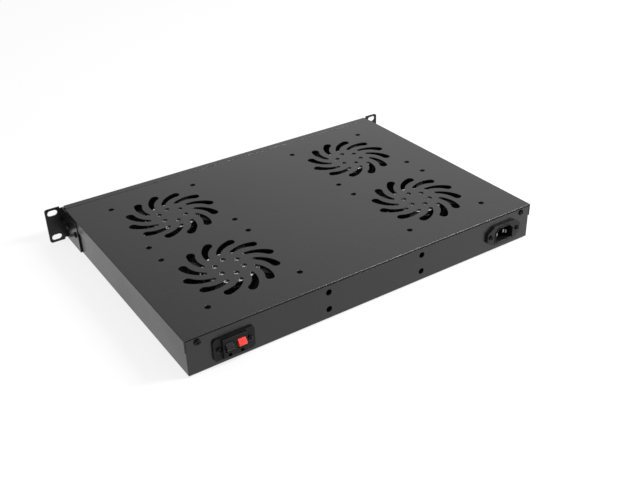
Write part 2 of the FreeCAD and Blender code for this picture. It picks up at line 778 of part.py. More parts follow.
def make_fan_frame(name, x, y):
    """Two square flanges on a round duct, with struts that carry the motor on the upper side."""
    half = "fan_square / 2"
    square = (f"{x} - {half}", f"{x} + {half}"), (f"{y} - {half}", f"{y} + {half}")
    flanges = []
    for i, low in enumerate((FAN_LOW, f"{FAN_TOP} - fan_flange")):
        plate = box(f"{name}_flange_{i}", *square, (low, f"{low} + fan_flange"))
        flanges.append(fillet(f"{name}_round_{i}", plate, "fan_corner", lambda e: along(e, 2)))
    duct = rod(f"{name}_duct", "fan_bore + 2 * fan_wall", (x, y, FAN_LOW), "fan_deep")
    # the duct is wider than the square only by its wall, and is trimmed flush with it
    trim = box(f"{name}_trim", *square, (FAN_LOW, FAN_TOP))
    trimmed = document.addObject("Part::Common", f"{name}_trimmed")
    trimmed.Base, trimmed.Tool = duct, trim
    bore = rod(f"{name}_bore", "fan_bore", (x, y, f"{FAN_LOW} - {PAST}"), f"fan_deep + 2 * {PAST}")
    walls = cut(f"{name}_walls", fuse(f"{name}_blank", trimmed, *flanges), bore)
    pieces = [walls, rod(f"{name}_disc", "mount_disc", (x, y, DISC_LOW), "mount_disc_thick"),
              rod(f"{name}_tube", "tube_outside", (x, y, f"{DISC_TOP} - tube_long"), "tube_long")]
    for i in range(int(value("strut_count"))):
        strut = document.addObject("Part::Box", f"{name}_strut_{i}")
        bind(strut, Length="fan_bore / 2 + fan_wall / 2", Width="strut_width", Height="mount_disc_thick")
        turn = 360 / value("strut_count") * i + 45
        offset = Rotation(Vector(0, 0, 1), turn).multVec(Vector(0, -value("strut_width") / 2, 0))
        strut.Placement = Placement(offset, Rotation(Vector(0, 0, 1), turn))
        place(strut, f"{x} + {offset.x}", f"{y} + {offset.y}", DISC_LOW)
        pieces.append(strut)
    solid = fuse(f"{name}_solid", *pieces)
    tools = [rod(f"{name}_hollow", "bearing_outside + 2 * fit_gap",
                 (x, y, f"{DISC_TOP} - tube_long - {PAST}"), f"tube_long - tube_cap + {PAST}")]
    for i, a in enumerate(("-", "+")):
        for k, b in enumerate(("-", "+")):
            spot = (f"{x} {a} fan_hole_pitch / 2", f"{y} {b} fan_hole_pitch / 2", f"{FAN_LOW} - {PAST}")
            tools.append(rod(f"{name}_hole_{i}{k}", "fan_hole", spot, f"fan_deep + 2 * {PAST}"))
    return node(cut(f"{name}_part", solid, *tools), f"{name}_frame")


def make_rotor_cup(name, x, y):
    """A steel cup, open upwards, with a boss that takes the shaft."""
    cup = new_body(f"{name}_cup_body")
    profile = new_sketch(cup, f"{name}_cup_profile", "XZ_Plane")
    bore = "(shaft_size / 2)"
    boss = "(shaft_size / 2 + boss_wall)"
    wide = "(cup_outside / 2)"
    polygon(profile, [(bore, "0"), (wide, "0"), (wide, CUP_DEEP), (f"{wide} - cup_wall", CUP_DEEP),
                      (f"{wide} - cup_wall", "cup_wall"), (boss, "cup_wall"), (boss, "cup_wall + boss_high"),
                      (bore, "cup_wall + boss_high")])
    revolve(cup, f"{name}_cup_turned", profile)
    place(cup, x, y, CUP_LOW)
    return node(cup, f"{name}_rotor_cup")


def blade_section(radius, pitch, chord):
    """A thin cambered outline, standing across a radius and leaning by its pitch."""
    thick, camber = value("blade_thick") / 2, value("blade_camber")
    ends = [Vector(0, -chord / 2, 0), Vector(0, chord / 2, 0)]
    up = Vector(0, 0, 1)
    upper = Part.Arc(ends[0] + up * thick, up * (camber + thick), ends[1] + up * thick)
    lower = Part.Arc(ends[1] - up * thick, up * (camber - thick), ends[0] - up * thick)
    edges = [upper.toShape(), Part.makeLine(ends[1] + up * thick, ends[1] - up * thick),
             lower.toShape(), Part.makeLine(ends[0] - up * thick, ends[0] + up * thick)]
    wire = Part.Wire(edges)
    wire.rotate(Vector(), Vector(1, 0, 0), pitch)
    wire.translate(Vector(radius, 0, 0))
    return wire


def make_impeller(name, spot):
    """A ring pressed on the rotor cup, with pitched blades that end just short of the duct."""
    cup_radius, ring = value("cup_outside") / 2, value("hub_ring")
    tip_radius = value("fan_bore") / 2 - value("blade_tip_gap")
    low, deep = value(CUP_LOW), value(CUP_DEEP)
    over = 4 * PAST  # the blades start inside the cup's radius and end past the duct, and are trimmed to both
    root = blade_section(cup_radius - over, value("blade_root_pitch"), value("blade_root_chord"))
    tip = blade_section(tip_radius + over, value("blade_tip_pitch"), value("blade_tip_chord"))
    blade = Part.makeLoft([root, tip], True, False)
    blade.translate(Vector(0, 0, deep / 2 - value("blade_camber") / 2))
    count = int(value("blade_count"))
    blades = []
    for i in range(count):
        copy = blade.copy()
        copy.rotate(Vector(), Vector(0, 0, 1), 360 / count * i)
        blades.append(copy)
    below = Vector(0, 0, -PAST)
    reach = Part.makeCylinder(tip_radius, deep + 2 * PAST, below)
    bore = Part.makeCylinder(cup_radius, deep + 2 * PAST, below)
    whole = Part.makeCylinder(cup_radius + ring, deep).fuse(blades).common(reach).cut(bore).removeSplitter()
    whole.translate(spot + Vector(0, 0, low))
    return node(feature(f"{name}_impeller", Part.makeCompound(whole.Solids[:1])), f"{name}_impeller")


def make_fan(name, x, y):
    make_fan_frame(name, x, y)
    make_rotor_cup(name, x, y)
    make_impeller(name, Vector(value(x), value(y), 0))
    shaft_top = f"{DISC_TOP} - shaft_drop"
    node(rod(f"{name}_shaft_rod", "shaft_size", (x, y, CUP_LOW), f"{shaft_top} - {CUP_LOW}"), f"{name}_shaft")
    rings = []
    lower = f"{DISC_TOP} - tube_long + bearing_inset"
    upper = f"{DISC_TOP} - tube_cap - bearing_inset - bearing_long"
    for i, low in enumerate((lower, upper)):
        outer = rod(f"{name}_ring_{i}", "bearing_outside", (x, y, low), "bearing_long")
        inner = rod(f"{name}_race_{i}", "shaft_size + 2 * fit_gap", (x, y, f"{low} - {PAST}"),
                    f"bearing_long + 2 * {PAST}")
        rings.append(cut(f"{name}_bearing_{i}", outer, inner))
    node(gather(f"{name}_bearing_pair", *rings), f"{name}_bearings")
    make_stator(name, x, y)


def make_stator(name, x, y):
    """A laminated core on the bearing tube, with the coils standing in its round windows."""
    low = f"({DISC_LOW} - coil_high)"
    core_low = f"({low} + (coil_high - stator_high) / 2)"
    core = rod(f"{name}_core_disc", "stator_outside", (x, y, core_low), "stator_high")
    hole = rod(f"{name}_core_hole", "tube_outside + 2 * fit_gap", (x, y, f"{core_low} - {PAST}"),
               f"stator_high + 2 * {PAST}")
    windows, coils = [], []
    count = int(value("coil_count"))
    reach = "(stator_outside + tube_outside) / 4"
    for i in range(count):
        angle = 360 / count * i
        cx, cy = f"({x} + {reach} * cos({angle}))", f"({y} + {reach} * sin({angle}))"
        windows.append(rod(f"{name}_window_{i}", "coil_size + 2 * fit_gap", (cx, cy, f"{core_low} - {PAST}"),
                           f"stator_high + 2 * {PAST}"))
        coils.append(rod(f"{name}_coil_{i}", "coil_size", (cx, cy, low), "coil_high"))
    node(cut(f"{name}_core", core, hole, *windows), f"{name}_stator")
    node(gather(f"{name}_coil_set", *coils), f"{name}_coils")


def fan_screw():
    """A flat-headed screw with a cross recess, sunk in the cover and driven through a fan's flange."""
    shank, head = value("fan_hole") / 2 - value("screw_gap"), value("fan_screw_head") / 2
    sink, metal = value("fan_screw_sink"), value("metal")
    neck, tip = value(COVER_UNDER) - sink, value(f"{FAN_TOP} - fan_flange - fan_screw_past")
    stem = Part.makeCylinder(shank, neck - tip, Vector(0, 0, tip))
    flat = Part.makeCone(shank, head, metal, Vector(0, 0, neck))
    long, wide, deep = (value(f"fan_screw_cross{part}") for part in ("", "_width", "_deep"))
    floor = neck + metal - deep
    bars = [Part.makeBox(x, y, deep + PAST, Vector(-x / 2, -y / 2, floor))
            for x, y in ((long, wide), (wide, long))]
    return stem.fuse(flat).removeSplitter().cut(bars[0].fuse(bars[1]))


def make_fan_details():
    """The four labels on the motors and the sixteen screws that hang the fans from the cover."""
    labels, screws = [], []
    top, radius, thick = value(DISC_TOP), value("label_size") / 2, value("label_thick")
    half = value("fan_hole_pitch") / 2
    screw = fan_screw()
    for spot in fan_places():
        labels.append(Part.makeCylinder(radius, thick, spot + Vector(0, 0, top)))
        screws += [screw.translated(spot + Vector(x, y, 0)) for x in (-half, half) for y in (-half, half)]
    node(feature("fan_label_set", Part.makeCompound(labels)), "fan_labels")
    node(feature("fan_screw_set", Part.makeCompound(screws)), "fan_screws")


# Mains inlet.

def make_inlet():
    """A screw-on three-pin mains inlet: a pointed flange, a deep socket and three flat pins."""
    x, z = INLET
    inlet = new_body("inlet_shell")
    # The XZ plane's normal points to -Y, so offsets along it are the negative of Y.
    flange = new_sketch(inlet, "inlet_flange_outline", "XZ_Plane", f"-({REAR} + inlet_flange)")
    wide, tall, ears, end = "inlet_width / 2", "inlet_height / 2", "inlet_ears / 2", "inlet_ear_end / 2"
    corners = [(wide, f"-{tall}"), (ears, f"-{end}"), (ears, end), (wide, tall),
               (f"-{wide}", tall), (f"-{ears}", end), (f"-{ears}", f"-{end}"), (f"-{wide}", f"-{tall}")]
    polygon(flange, [(f"{x} + {a}", f"{z} + {b}") for a, b in corners])
    pad(inlet, "inlet_flange_pad", flange, "inlet_flange")
    body = new_sketch(inlet, "inlet_body_outline", "XZ_Plane", f"-{REAR}")
    rectangle(body, (f"{x} - inlet_body_width / 2", f"{x} + inlet_body_width / 2"),
              (f"{z} - inlet_body_height / 2", f"{z} + inlet_body_height / 2"))
    pad(inlet, "inlet_body_pad", body, "inlet_deep")
    socket = new_sketch(inlet, "inlet_socket_outline", "XZ_Plane", f"-({REAR} + inlet_flange)")
    half, rise, corner = "socket_width / 2", "socket_height / 2", "socket_corner"
    corners = [(f"-{half}", f"-{rise}"), (half, f"-{rise}"), (half, f"{rise} - {corner}"),
               (f"{half} - {corner}", rise), (f"-{half} + {corner}", rise),
               (f"-{half}", f"{rise} - {corner}")]
    polygon(socket, [(f"{x} + {a}", f"{z} + {b}") for a, b in corners])
    pocket(inlet, "inlet_socket", socket, "socket_deep", True)
    document.recompute()
    tools = []
    back = f"{REAR} - inlet_deep - {PAST}"
    for i, (px, pz) in enumerate(PINS):
        tools.append(centred_box(f"inlet_pin_hole_{i}", (px, pz), "pin_width + 2 * fit_gap",
                                 (back, REAR), "pin_height + 2 * fit_gap"))
    for i, side in enumerate(("+", "-")):
        tools.append(screw_hole(f"inlet_hole_{i}", f"{x} {side} inlet_screw_pitch / 2", f"{REAR} - {PAST}", z,
                                f"inlet_flange + 2 * {PAST}"))
    flange_middle = value(f"{REAR} + inlet_flange / 2")
    rounded = fillet("inlet_rounded", inlet, "plastic_round",
                     lambda e: along(e, 1) and at(e, y=flange_middle) and not inside_socket(e))
    node(cut("inlet_part", rounded, *tools), "inlet_body")
    pins = []
    for i, spot in enumerate(PINS):
        sink = "earth_pin_sink" if spot[0] == INLET[0] else "live_pin_sink"
        span = (f"{REAR} - inlet_deep - tab_long", f"{REAR} + inlet_flange - {sink}")
        pins.append(centred_box(f"inlet_pin_{i}", spot, "pin_width", span, "pin_height"))
    node(gather("inlet_pin_set", *pins), "inlet_pins")


def inside_socket(edge):
    """Whether an edge is one of the socket's own, not of the flange's outline."""
    middle = edge.BoundBox.Center
    across, upward = abs(middle.x - value(INLET[0])), abs(middle.z - value(INLET[1]))
    return across < value("inlet_body_width / 2") and upward < value("inlet_body_height / 2")


def make_inlet_fasteners():
    x, z, half = value(INLET[0]), value(INLET[1]), value("inlet_screw_pitch") / 2
    face = value(f"{REAR} + inlet_flange")
    spots = [Vector(x + side * half, face, z) for side in (1, -1)]
    screw_set("inlet_screws", spots, "+y", value("screw_long") + value("inlet_flange"), "screw_head - 1.2")
    radius, thick = value("nut_across") / math.sqrt(3), value("nut_thick")
    turns = [math.radians(60 * i) for i in range(7)]
    outline = [Vector(radius * math.cos(turn), 0, radius * math.sin(turn)) for turn in turns]
    blank = Part.Face(Part.makePolygon(outline)).extrude(Vector(0, -thick, 0))
    bore = value("screw_shank / 2 + fit_gap")
    nut = blank.cut(Part.makeCylinder(bore, thick + 2 * PAST, Vector(0, -thick - PAST, 0), Vector(0, 1, 0)))
    nuts = [nut.translated(Vector(spot.x, value(INNER_REAR), spot.z)) for spot in spots]
    node(feature("inlet_nut_set", Part.makeCompound(nuts)), "inlet_nuts")


# Sensor terminal.

def make_terminal():
    """A two-way spring terminal: a bezel, a block with two lever bays, and a wire hole under each."""
    x, z = CLAMP
    bezel = centred_box("clamp_bezel", CLAMP, "clamp_width", (REAR, f"{REAR} + clamp_plate"), "clamp_height")
    rounded = fillet("clamp_rounded", bezel, "clamp_corner", lambda e: along(e, 1))
    face = f"{REAR} + clamp_block_out"
    block = centred_box("clamp_block", CLAMP, "clamp_block", (f"{REAR} - clamp_body_deep", face),
                        "clamp_block_height")
    softened = fillet("clamp_softened", block, "edge_round", lambda e: at(e, y=value(face)))
    tools = []
    for i, side in enumerate(("+", "-")):
        lever_x = f"({x} {side} clamp_lever_pitch / 2)"
        half = "(lever_width / 2 + lever_gap)"
        low = f"{LEVER_PIVOT[1]} - lever_drop - 2 * lever_gap"
        high = f"{LEVER_PIVOT[1]} + lever_top + 2 * lever_gap"
        tools.append(box(f"clamp_bay_{i}", (f"{lever_x} - {half}", f"{lever_x} + {half}"),
                         (f"{LEVER_PIVOT[0]} - lever_tail / 2 - lever_gap", f"{face} + {PAST}"), (low, high)))
        hole_start = (lever_x, f"{REAR} - wire_hole_deep", f"{z} - wire_hole_drop")
        tools.append(rod(f"clamp_wire_hole_{i}", "wire_hole", hole_start,
                         f"wire_hole_deep + clamp_block_out + {PAST}", "y"))
        tools.append(screw_hole(f"clamp_hole_{i}", f"{x} {side} clamp_screw_pitch / 2", f"{REAR} - {PAST}", z,
                                f"clamp_plate + 2 * {PAST}"))
    pin_start = (f"{x} - clamp_block / 2 - {PAST}", *LEVER_PIVOT)
    tools.append(rod("clamp_pin_hole", "lever_pin + 2 * fit_gap", pin_start,
                     f"clamp_block + 2 * {PAST}", "x"))
    node(cut("clamp_part", fuse("clamp_solid", rounded, softened), *tools), "terminal_base")
    spots = [Vector(value(f"{x} {side} clamp_screw_pitch / 2"), value(f"{REAR} + clamp_plate"), value(z))
             for side in "+-"]
    screw_set("terminal_screws", spots, "+y", value("screw_long"), "screw_head - 1.2")


def make_lever(name, side):
    """A push lever: a round tail on the pin, and a finger that slopes down and out of its bay."""
    lever_x = f"({CLAMP[0]} {side} clamp_lever_pitch / 2)"
    y, z = LEVER_PIVOT
    finger = new_body(name + "_finger")
    profile = new_sketch(finger, name + "_profile", "YZ_Plane", f"{lever_x} - lever_width / 2")
    tip = f"{y} + lever_reach"
    nose = f"{z} + lever_top - lever_slope"
    polygon(profile, [(y, f"{z} + lever_tail / 2"), (f"{tip} - lever_crown", f"{z} + lever_top"), (tip, nose),
                      (f"{tip} - lever_nose", f"{nose} - lever_nose_high"), (y, f"{z} - lever_tail / 2")])
    pad(finger, name + "_pad", profile, "lever_width")
    soft = fillet(name + "_soft", finger, "edge_soft", lambda e: e.BoundBox.YMin > value(f"{y} + {PAST}"))
    start = (f"{lever_x} - lever_width / 2", y, z)
    tail = rod(name + "_tail", "lever_tail", start, "lever_width", "x")
    bore = rod(name + "_bore", "lever_pin + 2 * fit_gap", (f"{start[0]} - {PAST}", y, z),
               f"lever_width + 2 * {PAST}", "x")
    return node(cut(name + "_part", fuse(name + "_solid", tail, soft), bore), name)


def make_lever_pin():
    """The one pin that both levers turn on, held in the block's walls."""
    length = "clamp_block - 4 * skin_gap"
    pin = rod("lever_pin_rod", "lever_pin", (f"{CLAMP[0]} - ({length}) / 2", *LEVER_PIVOT), length, "x")
    return node(pin, "lever_pin")


# Thermostat.

STAT_FACE = f"({PANEL_FACE} - stat_bezel)"
KEY_CELLS = {"key_set": (-0.5, 0.5), "key_up": (0.5, 0.5), "key_down": (0.5, -0.5)}


def key_place(name):
    """A key's middle, from its column and row counted in key pitches."""
    column, row = KEY_CELLS[name]
    side = f"({STAT[0]} - stat_body_width / 2 + key_inset - {column} * key_pitch)"
    return (side, f"({row} * key_pitch)")


def make_thermostat():
    """A box behind the panel with a bezel in front, a window and three keys."""
    x, z = STAT
    window = f"({x} + stat_body_width / 2 - window_inset)"
    bezel = centred_box("stat_bezel_block", STAT, "stat_width", (STAT_FACE, PANEL_FACE), "stat_height")
    soft = fillet("stat_soft", bezel, "plastic_round", lambda e: at(e, y=value(STAT_FACE)) or along(e, 1))
    body = centred_box("stat_body_block", STAT, "stat_body_width", (PANEL_FACE, f"{PANEL_FACE} + stat_deep"),
                       "stat_body_height")
    tools = [
        centred_box("stat_hollow", STAT, "stat_body_width - 2 * stat_wall",
                    (f"{STAT_FACE} + stat_wall", f"{PANEL_FACE} + stat_deep - stat_wall"),
                    "stat_body_height - 2 * stat_wall"),
        centred_box("stat_window_opening", (window, z), "window_width + 2 * fit_gap",
                    (f"{STAT_FACE} - {PAST}", f"{STAT_FACE} + stat_wall + {PAST}"),
                    "window_height + 2 * fit_gap"),
    ]
    for name in KEY_CELLS:
        tools.append(centred_box(name + "_hole", key_place(name), "key_size + 2 * key_gap",
                                 (f"{STAT_FACE} - {PAST}", f"{STAT_FACE} + stat_wall + {PAST}"),
                                 "key_size + 2 * key_gap"))
    node(cut("stat_part", fuse("stat_solid", soft, body), *tools), "thermostat_case")
    pane_face = f"({STAT_FACE} + window_sink)"
    pane = centred_box("stat_pane", (window, z), "window_width", (pane_face, f"{pane_face} + window_thick"),
                       "window_height")
    node(pane, "thermostat_window")
    board_front = f"({STAT_FACE} + stat_wall + key_collar + key_travel + board_gap)"
    inset = "2 * (stat_wall + skin_gap)"
    board = centred_box("stat_board", STAT, f"stat_body_width - {inset}",
                        (board_front, f"{board_front} + board_thick"), f"stat_body_height - {inset}")
    node(board, "thermostat_board")
    for name in KEY_CELLS:
        make_key(name, key_place(name))


def make_key(name, spot):
    """A key cap with a collar behind the bezel that keeps it in."""
    face, back = f"({STAT_FACE} - key_out)", f"({STAT_FACE} + stat_wall)"
    cap = centred_box(name + "_cap", spot, "key_size", (face, back), "key_size")
    round_cap = fillet(name + "_round", cap, "edge_soft", lambda e: at(e, y=value(face)) or along(e, 1))
    collar_size = "key_size + 2 * key_collar_rim"
    collar = centred_box(name + "_collar", spot, collar_size, (back, f"{back} + key_collar"), collar_size)
    node(fuse(name + "_part", round_cap, collar), name)


# Switch.

SWITCH_FACE = f"({PANEL_FACE} - switch_bezel)"
ROCKER_PIVOT = f"({SWITCH_FACE} + rocker_sink)"


def make_switch():
    """A snap-in rocker switch: the rocker turns on an upright axis in a round cavity."""
    x, z = SWITCH
    bezel = centred_box("switch_bezel_block", SWITCH, "switch_width", (SWITCH_FACE, PANEL_FACE),
                        "switch_height")
    soft = fillet("switch_soft", bezel, "edge_round", lambda e: at(e, y=value(SWITCH_FACE)) or along(e, 1))
    body = centred_box("switch_body_block", SWITCH, "switch_body_width",
                       (PANEL_FACE, f"{PANEL_FACE} + switch_deep"), "switch_body_height")
    cavity = rod("switch_cavity", "2 * (rocker_radius + rocker_gap)",
                 (x, ROCKER_PIVOT, "-rocker_height / 2 - rocker_gap"), "rocker_height + 2 * rocker_gap")
    node(cut("switch_part", fuse("switch_solid", soft, body), cavity), "switch_body")
    spot = Vector(value(x), value(ROCKER_PIVOT), 0)
    radius, high = value("rocker_radius"), value("rocker_height")
    face, back = -value("rocker_sink") - value("rocker_rise"), value("rocker_back")
    reach = radius + PAST
    outline = [Vector(-reach, face, 0), Vector(0, face + value("rocker_dip"), 0), Vector(reach, face, 0),
               Vector(reach, back, 0), Vector(-reach, back, 0)]
    prism = Part.Face(Part.makePolygon(outline + outline[:1])).extrude(Vector(0, 0, high))
    rocker = prism.common(Part.makeCylinder(radius, high))
    rocker.translate(Vector(0, 0, -high / 2))
    rocker.rotate(Vector(), Vector(0, 0, 1), -value("rocker_tilt"))
    rocker.translate(spot)
    node(feature("switch_rocker_solid", rocker), "switch_rocker")


# Wiring.

def cable(points, diameter, bend):
    """A round cable along straight runs, with an arc at each turn."""
    edges, start = [], points[0]
    for before, corner, after in zip(points, points[1:], points[2:]):
        back = (before - corner).normalize()
        ahead = (after - corner).normalize()
        half_turn = (math.pi - back.getAngle(ahead)) / 2
        trim = bend * math.tan(half_turn)
        entry, exit_point = corner + back * trim, corner + ahead * trim
        middle = corner + (back + ahead).normalize() * (bend / math.cos(half_turn) - bend)
        edges += [Part.makeLine(start, entry), Part.Arc(entry, middle, exit_point).toShape()]
        start = exit_point
    edges.append(Part.makeLine(start, points[-1]))
    path = Part.Wire(edges)
    ring = Part.makeCircle(diameter / 2, points[0], points[1] - points[0])
    return path.makePipeShell([Part.Wire([ring])], True, False)


def make_wiring():
    """The mains cable, the sensor lead and one lead to each fan, laid in the lanes beside the fans."""
    bend, gap, step = value("cable_bend"), value("cable_gap"), value("cable_rise")
    channel = value(f"({INNER_SIDE} + {FAN_SIDE} + fan_square / 2) / 2")
    low = value(f"{FLOOR} + cable_lift")
    rear_lane = value(f"{INNER_REAR} - cable_rear_lane")
    rear_turn = rear_lane - value("cable_drop")
    inlet_end = value(f"{INLET[0]} - (inlet_body_width + mains_cable) / 2") - gap
    switch_back = value(f"{PANEL_FACE} + switch_deep") + 4 * gap
    mains = cable([Vector(inlet_end, rear_lane, value(INLET[1])), Vector(-channel, rear_turn, low),
                   Vector(-channel, switch_back + step, low), Vector(value(SWITCH[0]), switch_back, 0)],
                  value("mains_cable"), bend)
    node(feature("mains_cable_solid", mains), "mains_cable")
    lane = value(f"({PANEL_FACE} + stat_deep + {FAN_FRONT_Y} - fan_square / 2) / 2")
    clamp_end = value(f"{CLAMP[0]} + (clamp_block + probe_lead) / 2") + gap
    stat_end = value(f"{STAT[0]} + (stat_body_width + probe_lead) / 2") + gap
    probe = cable([Vector(clamp_end, rear_lane, value(CLAMP[1])), Vector(channel, rear_turn, low),
                   Vector(channel, lane + step, low), Vector(stat_end, lane, 0)],
                  value("probe_lead"), bend / 2)
    node(feature("probe_lead_solid", probe), "probe_lead")
    leads = []
    half_gap = value(f"{FAN_SIDE} - fan_square / 2")
    for spot in fan_places():
        side = math.copysign(1, spot.x)
        start = Vector(side * (half_gap - PAST), spot.y, 0)
        behind = spot.y > value(FAN_FRONT_Y) + PAST
        run = side * (half_gap - value("lead_inset") - (value("lead_step") if behind else 0))
        end = Vector(run, value(f"{INNER_FRONT} + cable_lift"), low)
        turn = Vector(run, spot.y - value("lead_run"), low)
        leads.append(cable([start, turn, end], value("fan_lead"), bend))
    node(feature("fan_lead_solids", Part.makeCompound(leads)), "fan_leads")


def make_earth_stud():
    """The stud and nut that earth the chassis floor beside the inlet."""
    spot = (f"{INLET[0]} + earth_side", f"{INNER_REAR} - earth_rear", FLOOR)
    stud = rod("earth_thread", "earth_rod", spot, "earth_rod_long")
    nut = rod("earth_nut_blank", "earth_nut", spot, "earth_nut_high")
    node(fuse("earth_stud_part", stud, nut), "earth_stud")


def main():
    make_chassis()
    make_cover()
    make_front_panel()
    make_ear("ear_left", 1)
    make_ear("ear_right", -1)
    make_case_screws()
    spots = [(f"{side}{FAN_SIDE}", y) for y in (FAN_FRONT_Y, FAN_REAR_Y) for side in ("", "-")]
    for number, (x, y) in enumerate(spots, 1):
        make_fan(f"fan_{number}", x, y)
    make_fan_details()
    make_inlet()
    make_inlet_fasteners()
    make_terminal()
    make_lever("lever_black", "+")
    make_lever("lever_red", "-")
    make_lever_pin()
    make_thermostat()
    make_switch()
    make_wiring()
    make_earth_stud()
    document.recompute()
    check_document()
    write_parts()


def check_document():
    """Stops if any object failed or any sub-part has no valid shape."""
    for obj in document.Objects:
        if "Invalid" in obj.State or "Error" in obj.State:
            raise RuntimeError(f"{obj.Name} failed: {obj.State}")
    for obj in nodes:
        if obj.Shape.isNull() or not obj.Shape.isValid() or not obj.Shape.Solids:
            raise RuntimeError(f"{obj.Label} has no valid solid")


def write_parts():
    os.makedirs("parts", exist_ok=True)
    for obj in nodes:
        obj.Shape.exportStep(os.path.join("parts", obj.Label + ".step"))
        size = obj.Shape.BoundBox
        print(f"{obj.Label}: {len(obj.Shape.Solids)} solids, {size.XLength:.1f} x {size.YLength:.1f} x "
              f"{size.ZLength:.1f}, volume {obj.Shape.Volume:.0f}")


main()
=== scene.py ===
"""Rack fan tray: the finish of every surface, the small moulded details, the camera and the studio."""
import json
import math
import bmesh
import bpy
from mathutils import Matrix, Vector


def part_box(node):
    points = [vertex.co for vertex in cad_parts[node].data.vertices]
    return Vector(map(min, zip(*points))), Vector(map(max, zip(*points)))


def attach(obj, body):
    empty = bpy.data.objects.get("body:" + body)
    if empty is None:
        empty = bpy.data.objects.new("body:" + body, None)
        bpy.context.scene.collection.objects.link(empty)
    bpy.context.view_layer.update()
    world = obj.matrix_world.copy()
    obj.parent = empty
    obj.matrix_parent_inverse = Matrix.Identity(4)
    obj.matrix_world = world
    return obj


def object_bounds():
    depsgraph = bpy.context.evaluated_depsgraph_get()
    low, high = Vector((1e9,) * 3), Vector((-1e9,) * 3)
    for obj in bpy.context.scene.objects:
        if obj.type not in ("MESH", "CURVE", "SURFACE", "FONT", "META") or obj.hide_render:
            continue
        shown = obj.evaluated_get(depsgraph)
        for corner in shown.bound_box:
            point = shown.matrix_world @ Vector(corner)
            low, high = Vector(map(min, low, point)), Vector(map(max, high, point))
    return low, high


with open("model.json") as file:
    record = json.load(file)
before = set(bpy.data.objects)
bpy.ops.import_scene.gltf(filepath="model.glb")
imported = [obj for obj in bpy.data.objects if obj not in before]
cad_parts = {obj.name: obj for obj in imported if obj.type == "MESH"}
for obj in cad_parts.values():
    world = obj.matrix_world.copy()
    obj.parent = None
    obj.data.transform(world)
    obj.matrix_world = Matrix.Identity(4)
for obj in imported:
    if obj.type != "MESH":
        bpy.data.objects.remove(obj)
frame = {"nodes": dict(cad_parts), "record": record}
cad_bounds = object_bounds()

MM = 0.001
NODES = frame["nodes"]
SLOT_OF = {part["node"]: part["material_slot"] for part in frame["record"]["subparts"]}
TABLE_HEIGHT = cad_bounds[0][2]
FRONT_WARD = Vector((0, -1, 0))
REAR_WARD = Vector((0, 1, 0))


# Materials. A noise rarely leaves this range, so ranges of tone and roughness are spread over it.
NOISE_LOW, NOISE_HIGH = 0.3, 0.7


class Finish:
    """A node material under construction, with the object's own coordinates in metres."""

    def __init__(self, name):
        self.material = bpy.data.materials.new(name)
        self.material.use_nodes = True
        self.tree = self.material.node_tree
        self.shader = self.tree.nodes["Principled BSDF"]
        self.place = self.node("ShaderNodeTexCoord").outputs["Object"]

    def node(self, kind, **settings):
        made = self.tree.nodes.new(kind)
        for key, setting in settings.items():
            setattr(made, key, setting)
        return made

    def link(self, output, target):
        self.tree.links.new(output, target)

    def set(self, **values):
        for key, number in values.items():
            self.shader.inputs[key.replace("_", " ")].default_value = number

    def noise(self, scale, detail, rough=0.5, squeeze=(1, 1, 1)):
        """A noise pattern, which may be squeezed along an axis."""
        mapping = self.node("ShaderNodeMapping")
        mapping.inputs["Scale"].default_value = squeeze
        self.link(self.place, mapping.inputs["Vector"])
        noise = self.node("ShaderNodeTexNoise")
        noise.inputs["Scale"].default_value = scale
        noise.inputs["Detail"].default_value = detail
        noise.inputs["Roughness"].default_value = rough
        self.link(mapping.outputs["Vector"], noise.inputs["Vector"])
        return noise.outputs["Fac"]

    def blend(self, fine, share, coarse):
        """A share of a fine pattern on top of a coarse one."""
        added = self.node("ShaderNodeMath", operation="MULTIPLY_ADD")
        added.inputs[1].default_value = share
        self.link(fine, added.inputs[0])
        self.link(coarse, added.inputs[2])
        return added.outputs[0]

    def spread(self, fac, low, high):
        """Maps a noise to a range of numbers."""
        ranged = self.node("ShaderNodeMapRange")
        ranged.inputs["From Min"].default_value = NOISE_LOW
        ranged.inputs["From Max"].default_value = NOISE_HIGH
        ranged.inputs["To Min"].default_value = low
        ranged.inputs["To Max"].default_value = high
        self.link(fac, ranged.inputs["Value"])
        return ranged.outputs["Result"]

    def colours(self, fac, low, high, start=NOISE_LOW, end=NOISE_HIGH):
        """A colour between two, chosen by a factor."""
        ramp = self.node("ShaderNodeValToRGB")
        ramp.color_ramp.elements[0].position = start
        ramp.color_ramp.elements[0].color = (*low, 1)
        ramp.color_ramp.elements[1].position = end
        ramp.color_ramp.elements[1].color = (*high, 1)
        self.link(fac, ramp.inputs["Fac"])
        return ramp.outputs["Color"]

    def bump(self, height, distance, strength, edge=0.0):
        """Relief over the surface, with edges rounded by a radius."""
        bump = self.node("ShaderNodeBump")
        bump.inputs["Strength"].default_value = strength
        bump.inputs["Distance"].default_value = distance
        self.link(height, bump.inputs["Height"])
        if edge:
            bevel = self.node("ShaderNodeBevel", samples=4)
            bevel.inputs["Radius"].default_value = edge
            self.link(bevel.outputs["Normal"], bump.inputs["Normal"])
        self.link(bump.outputs["Normal"], self.shader.inputs["Normal"])


